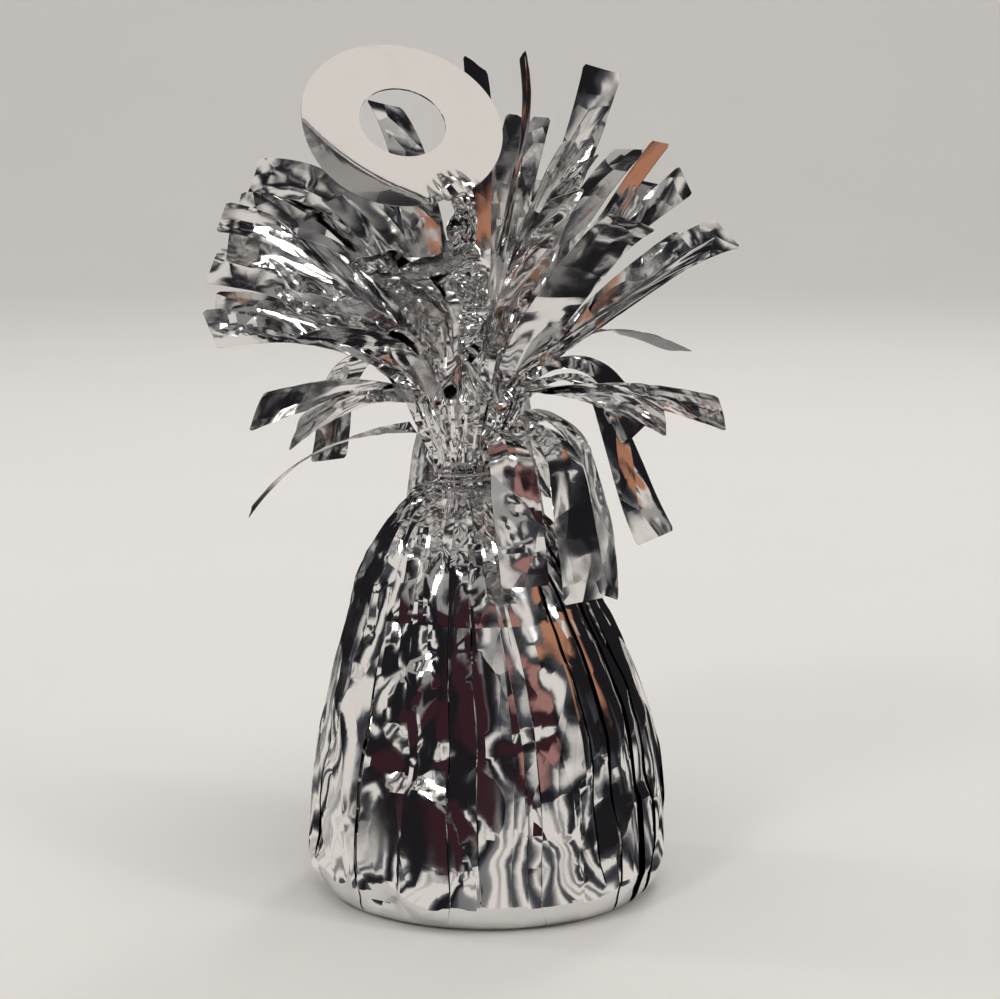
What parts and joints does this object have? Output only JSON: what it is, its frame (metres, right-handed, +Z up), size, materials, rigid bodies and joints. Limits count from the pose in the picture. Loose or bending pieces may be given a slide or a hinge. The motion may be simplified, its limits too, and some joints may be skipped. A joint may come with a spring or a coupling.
{
  "type": "balloon weight",
  "caption": "Silver foil balloon weight: a pleated foil bell over a cast weight, tied at the neck, with a foil fringe and a ring tab on a twisted stem for balloon ribbons.",
  "frame": {"origin": "middle of the foot, on the surface that the weight stands on", "axes": "+Z up along the weight's height, +X to the right in the picture, +Y away from the camera"},
  "size_m": [0.0886, 0.0857, 0.1395],
  "materials": {
    "foil": "polished",
    "ring_film": "polished",
    "tie_wire": "satin",
    "cup_plastic": "satin",
    "cast_weight": "matte",
    "card": "matte"
  },
  "bodies": {
    "weight": {"ballast_cup": "cup_plastic", "ballast_plug": "cast_weight", "base_disc": "card", "foil_wrap": "foil", "neck_tie": "tie_wire", "tab_tail": "foil"},
    "stem": {"tab_stem": "foil"},
    "ring": {"ring_tab": "ring_film"},
    "low_strip_1": {"low_strip_1": "foil"},
    "low_strip_2": {"low_strip_2": "foil"},
    "low_strip_3": {"low_strip_3": "foil"},
    "low_strip_4": {"low_strip_4": "foil"},
    "low_strip_5": {"low_strip_5": "foil"},
    "low_strip_6": {"low_strip_6": "foil"},
    "outer_strip_1": {"outer_strip_1": "foil"},
    "outer_strip_2": {"outer_strip_2": "foil"},
    "outer_strip_3": {"outer_strip_3": "foil"},
    "outer_strip_4": {"outer_strip_4": "foil"},
    "outer_strip_5": {"outer_strip_5": "foil"},
    "outer_strip_6": {"outer_strip_6": "foil"},
    "outer_strip_7": {"outer_strip_7": "foil"},
    "outer_strip_8": {"outer_strip_8": "foil"},
    "outer_strip_9": {"outer_strip_9": "foil"},
    "outer_strip_10": {"outer_strip_10": "foil"},
    "outer_strip_11": {"outer_strip_11": "foil"},
    "outer_strip_12": {"outer_strip_12": "foil"},
    "lap_strip_1": {"lap_strip_1": "foil"},
    "lap_strip_2": {"lap_strip_2": "foil"},
    "lap_strip_3": {"lap_strip_3": "foil"},
    "lap_strip_4": {"lap_strip_4": "foil"},
    "lap_strip_5": {"lap_strip_5": "foil"},
    "lap_strip_6": {"lap_strip_6": "foil"},
    "middle_strip_1": {"middle_strip_1": "foil"},
    "middle_strip_2": {"middle_strip_2": "foil"},
    "middle_strip_3": {"middle_strip_3": "foil"},
    "middle_strip_4": {"middle_strip_4": "foil"},
    "middle_strip_5": {"middle_strip_5": "foil"},
    "middle_strip_6": {"middle_strip_6": "foil"},
    "middle_strip_7": {"middle_strip_7": "foil"},
    "middle_strip_8": {"middle_strip_8": "foil"},
    "middle_strip_9": {"middle_strip_9": "foil"},
    "middle_strip_10": {"middle_strip_10": "foil"},
    "inner_strip_1": {"inner_strip_1": "foil"},
    "inner_strip_2": {"inner_strip_2": "foil"},
    "inner_strip_3": {"inner_strip_3": "foil"},
    "inner_strip_4": {"inner_strip_4": "foil"},
    "inner_strip_5": {"inner_strip_5": "foil"},
    "inner_strip_6": {"inner_strip_6": "foil"}
  },
  "joints": [
    {"name": "stem_sway", "type": "hinge", "parent": "weight", "child": "stem", "pos_m": [-0.0039, -0.00406, 0.0881], "axis": [1, 0, 0], "range_deg": [-3, 5], "stiffness_Nm_per_rad": 0.02},
    {"name": "ring_nod", "type": "hinge", "parent": "stem", "child": "ring", "pos_m": [-0.0046, -0.0076, 0.1152], "axis": [0.807, 0.5068, 0.3031], "range_deg": [-8, 20], "stiffness_Nm_per_rad": 0.01},
    {"name": "low_strip_1_flex", "type": "hinge", "parent": "weight", "child": "low_strip_1", "pos_m": [0.00428, -0.00435, 0.0771], "axis": [-0.6428, -0.766, 0], "range_deg": [-2, 8], "stiffness_Nm_per_rad": 0.003},
    {"name": "low_strip_2_flex", "type": "hinge", "parent": "weight", "child": "low_strip_2", "pos_m": [0.00442, 0.00406, 0.0771], "axis": [0.4384, -0.8988, 0], "range_deg": [-2, 8], "stiffness_Nm_per_rad": 0.003},
    {"name": "low_strip_3_flex", "type": "hinge", "parent": "weight", "child": "low_strip_3", "pos_m": [0.00016, 0.00832, 0.0771], "axis": [0.8988, -0.4384, 0], "range_deg": [-2, 8], "stiffness_Nm_per_rad": 0.003},
    {"name": "low_strip_4_flex", "type": "hinge", "parent": "weight", "child": "low_strip_4", "pos_m": [-0.00567, 0.00909, 0.0771], "axis": [0.9962, 0.0872, 0], "range_deg": [-2, 8], "stiffness_Nm_per_rad": 0.003},
    {"name": "low_strip_5_flex", "type": "hinge", "parent": "weight", "child": "low_strip_5", "pos_m": [-0.01248, -0.00347, 0.0771], "axis": [-0.4372, 0.8825, -0.1735], "range_deg": [-2, 8], "stiffness_Nm_per_rad": 0.003},
    {"name": "low_strip_6_flex", "type": "hinge", "parent": "weight", "child": "low_strip_6", "pos_m": [0.00045, -0.00818, 0.0771], "axis": [-0.9397, -0.342, 0], "range_deg": [-2, 8], "stiffness_Nm_per_rad": 0.003},
    {"name": "outer_strip_1_flex", "type": "hinge", "parent": "weight", "child": "outer_strip_1", "pos_m": [0.00612, -0.00088, 0.08353], "axis": [-0.225, -0.9744, 0], "range_deg": [-2, 8], "stiffness_Nm_per_rad": 0.003},
    {"name": "outer_strip_2_flex", "type": "hinge", "parent": "weight", "child": "outer_strip_2", "pos_m": [0.00549, 0.0036, 0.08353], "axis": [0.338, -0.9398, -0.0502], "range_deg": [-7, 7], "stiffness_Nm_per_rad": 0.003},
    {"name": "outer_strip_3_flex", "type": "hinge", "parent": "weight", "child": "outer_strip_3", "pos_m": [0.00296, 0.00736, 0.08353], "axis": [0.682, -0.7314, 0], "range_deg": [-7, 7], "stiffness_Nm_per_rad": 0.003},
    {"name": "outer_strip_4_flex", "type": "hinge", "parent": "weight", "child": "outer_strip_4", "pos_m": [-0.00164, 0.0098, 0.08353], "axis": [0.9744, -0.225, 0], "range_deg": [-2, 8], "stiffness_Nm_per_rad": 0.003},
    {"name": "outer_strip_5_flex", "type": "hinge", "parent": "weight", "child": "outer_strip_5", "pos_m": [-0.00616, 0.0098, 0.08353], "axis": [0.9744, 0.225, 0], "range_deg": [-7, 7], "stiffness_Nm_per_rad": 0.003},
    {"name": "outer_strip_6_flex", "type": "hinge", "parent": "weight", "child": "outer_strip_6", "pos_m": [-0.0105, 0.00759, 0.08353], "axis": [0.7071, 0.7071, 0], "range_deg": [-2, 8], "stiffness_Nm_per_rad": 0.003},
    {"name": "outer_strip_7_flex", "type": "hinge", "parent": "weight", "child": "outer_strip_7", "pos_m": [-0.01323, 0.00377, 0.08353], "axis": [0.309, 0.9511, 0], "range_deg": [-7, 7], "stiffness_Nm_per_rad": 0.003},
    {"name": "outer_strip_8_flex", "type": "hinge", "parent": "weight", "child": "outer_strip_8", "pos_m": [-0.0138, -0.00175, 0.08353], "axis": [-0.309, 0.9511, 0], "range_deg": [-7, 7], "stiffness_Nm_per_rad": 0.003},
    {"name": "outer_strip_9_flex", "type": "hinge", "parent": "weight", "child": "outer_strip_9", "pos_m": [-0.01183, -0.00619, 0.08353], "axis": [-0.6955, 0.6347, -0.3368], "range_deg": [-7, 7], "stiffness_Nm_per_rad": 0.003},
    {"name": "outer_strip_10_flex", "type": "hinge", "parent": "weight", "child": "outer_strip_10", "pos_m": [-0.00831, -0.00904, 0.08353], "axis": [-0.866, 0.5, 0], "range_deg": [-7, 7], "stiffness_Nm_per_rad": 0.003},
    {"name": "outer_strip_11_flex", "type": "hinge", "parent": "weight", "child": "outer_strip_11", "pos_m": [0.00158, -0.00843, 0.08353], "axis": [-0.8305, -0.5457, 0.1116], "range_deg": [-7, 7], "stiffness_Nm_per_rad": 0.003},
    {"name": "outer_strip_12_flex", "type": "hinge", "parent": "weight", "child": "outer_strip_12", "pos_m": [0.00472, -0.00518, 0.08353], "axis": [-0.5515, -0.8313, 0.0691], "range_deg": [-7, 7], "stiffness_Nm_per_rad": 0.003},
    {"name": "lap_strip_1_flex", "type": "hinge", "parent": "weight", "child": "lap_strip_1", "pos_m": [0.00289, 0.00512, 0.08471], "axis": [0.6293, -0.7771, 0], "range_deg": [-6, 6], "stiffness_Nm_per_rad": 0.003},
    {"name": "lap_strip_2_flex", "type": "hinge", "parent": "weight", "child": "lap_strip_2", "pos_m": [0.00458, 0.00074, 0.08471], "axis": [0.225, -0.9744, 0], "range_deg": [-6, 6], "stiffness_Nm_per_rad": 0.003},
    {"name": "lap_strip_3_flex", "type": "hinge", "parent": "weight", "child": "lap_strip_3", "pos_m": [0.00315, -0.00476, 0.08471], "axis": [-0.4226, -0.9063, 0], "range_deg": [-6, 6], "stiffness_Nm_per_rad": 0.003},
    {"name": "lap_strip_4_flex", "type": "hinge", "parent": "weight", "child": "lap_strip_4", "pos_m": [-0.00071, 0.00789, 0.08471], "axis": [0.9272, -0.3746, 0], "range_deg": [-6, 6], "stiffness_Nm_per_rad": 0.003},
    {"name": "lap_strip_5_flex", "type": "hinge", "parent": "weight", "child": "lap_strip_5", "pos_m": [-0.00508, 0.00842, 0.08471], "axis": [0.9903, 0.1392, 0], "range_deg": [-6, 6], "stiffness_Nm_per_rad": 0.003},
    {"name": "lap_strip_6_flex", "type": "hinge", "parent": "weight", "child": "lap_strip_6", "pos_m": [-0.00925, 0.00661, 0.08471], "axis": [0.8192, 0.5736, 0], "range_deg": [-6, 6], "stiffness_Nm_per_rad": 0.003},
    {"name": "middle_strip_1_flex", "type": "hinge", "parent": "weight", "child": "middle_strip_1", "pos_m": [0.00291, 0.00145, 0.08589], "axis": [0.2079, -0.9781, 0], "range_deg": [-6, 6], "stiffness_Nm_per_rad": 0.003},
    {"name": "middle_strip_2_flex", "type": "hinge", "parent": "weight", "child": "middle_strip_2", "pos_m": [0.00102, 0.00492, 0.08589], "axis": [0.6561, -0.7547, 0], "range_deg": [-6, 6], "stiffness_Nm_per_rad": 0.003},
    {"name": "middle_strip_3_flex", "type": "hinge", "parent": "weight", "child": "middle_strip_3", "pos_m": [-0.00245, 0.00681, 0.08589], "axis": [0.9135, -0.4067, 0], "range_deg": [-6, 6], "stiffness_Nm_per_rad": 0.003},
    {"name": "middle_strip_4_flex", "type": "hinge", "parent": "weight", "child": "middle_strip_4", "pos_m": [-0.00651, 0.00645, 0.08589], "axis": [0.9272, 0.3746, 0], "range_deg": [-6, 6], "stiffness_Nm_per_rad": 0.003},
    {"name": "middle_strip_5_flex", "type": "hinge", "parent": "weight", "child": "middle_strip_5", "pos_m": [-0.0096, 0.00399, 0.08589], "axis": [0.6293, 0.7771, 0], "range_deg": [-6, 6], "stiffness_Nm_per_rad": 0.003},
    {"name": "middle_strip_6_flex", "type": "hinge", "parent": "weight", "child": "middle_strip_6", "pos_m": [-0.01086, 0, 0.08589], "axis": [0, 1, 0], "range_deg": [-6, 6], "stiffness_Nm_per_rad": 0.003},
    {"name": "middle_strip_7_flex", "type": "hinge", "parent": "weight", "child": "middle_strip_7", "pos_m": [-0.0098, -0.00369, 0.08589], "axis": [-0.5592, 0.829, 0], "range_deg": [-6, 6], "stiffness_Nm_per_rad": 0.003},
    {"name": "middle_strip_8_flex", "type": "hinge", "parent": "weight", "child": "middle_strip_8", "pos_m": [-0.00673, -0.00636, 0.08589], "axis": [-0.9135, 0.4067, 0], "range_deg": [-6, 6], "stiffness_Nm_per_rad": 0.003},
    {"name": "middle_strip_9_flex", "type": "hinge", "parent": "weight", "child": "middle_strip_9", "pos_m": [0.00019, -0.00563, 0.08589], "axis": [-0.7431, -0.6691, 0], "range_deg": [-6, 6], "stiffness_Nm_per_rad": 0.003},
    {"name": "middle_strip_10_flex", "type": "hinge", "parent": "weight", "child": "middle_strip_10", "pos_m": [0.00264, -0.00238, 0.08589], "axis": [-0.309, -0.9511, 0], "range_deg": [-6, 6], "stiffness_Nm_per_rad": 0.003},
    {"name": "inner_strip_1_flex", "type": "hinge", "parent": "weight", "child": "inner_strip_1", "pos_m": [-0.00088, 0.00271, 0.0881], "axis": [0.288, -0.9455, 0.1521], "range_deg": [-5, 5], "stiffness_Nm_per_rad": 0.003},
    {"name": "inner_strip_2_flex", "type": "hinge", "parent": "weight", "child": "inner_strip_2", "pos_m": [-0.00369, 0.00405, 0.0881], "axis": [0.8679, 0.4504, -0.2093], "range_deg": [-5, 5], "stiffness_Nm_per_rad": 0.003},
    {"name": "inner_strip_3_flex", "type": "hinge", "parent": "weight", "child": "inner_strip_3", "pos_m": [-0.00662, 0.00302, 0.0881], "axis": [0.8988, 0.4384, 0], "range_deg": [-5, 5], "stiffness_Nm_per_rad": 0.003},
    {"name": "inner_strip_4_flex", "type": "hinge", "parent": "weight", "child": "inner_strip_4", "pos_m": [-0.00794, 0.00035, 0.0881], "axis": [0.3871, 0.9211, 0.042], "range_deg": [-5, 5], "stiffness_Nm_per_rad": 0.003},
    {"name": "inner_strip_5_flex", "type": "hinge", "parent": "weight", "child": "inner_strip_5", "pos_m": [-0.00019, -0.00165, 0.0881], "axis": [-0.4067, -0.9135, 0], "range_deg": [-5, 5], "stiffness_Nm_per_rad": 0.003},
    {"name": "inner_strip_6_flex", "type": "hinge", "parent": "weight", "child": "inner_strip_6", "pos_m": [-0.00701, -0.00261, 0.0881], "axis": [-0.8264, 0.5619, -0.0361], "range_deg": [-5, 5], "stiffness_Nm_per_rad": 0.003}
  ]
}
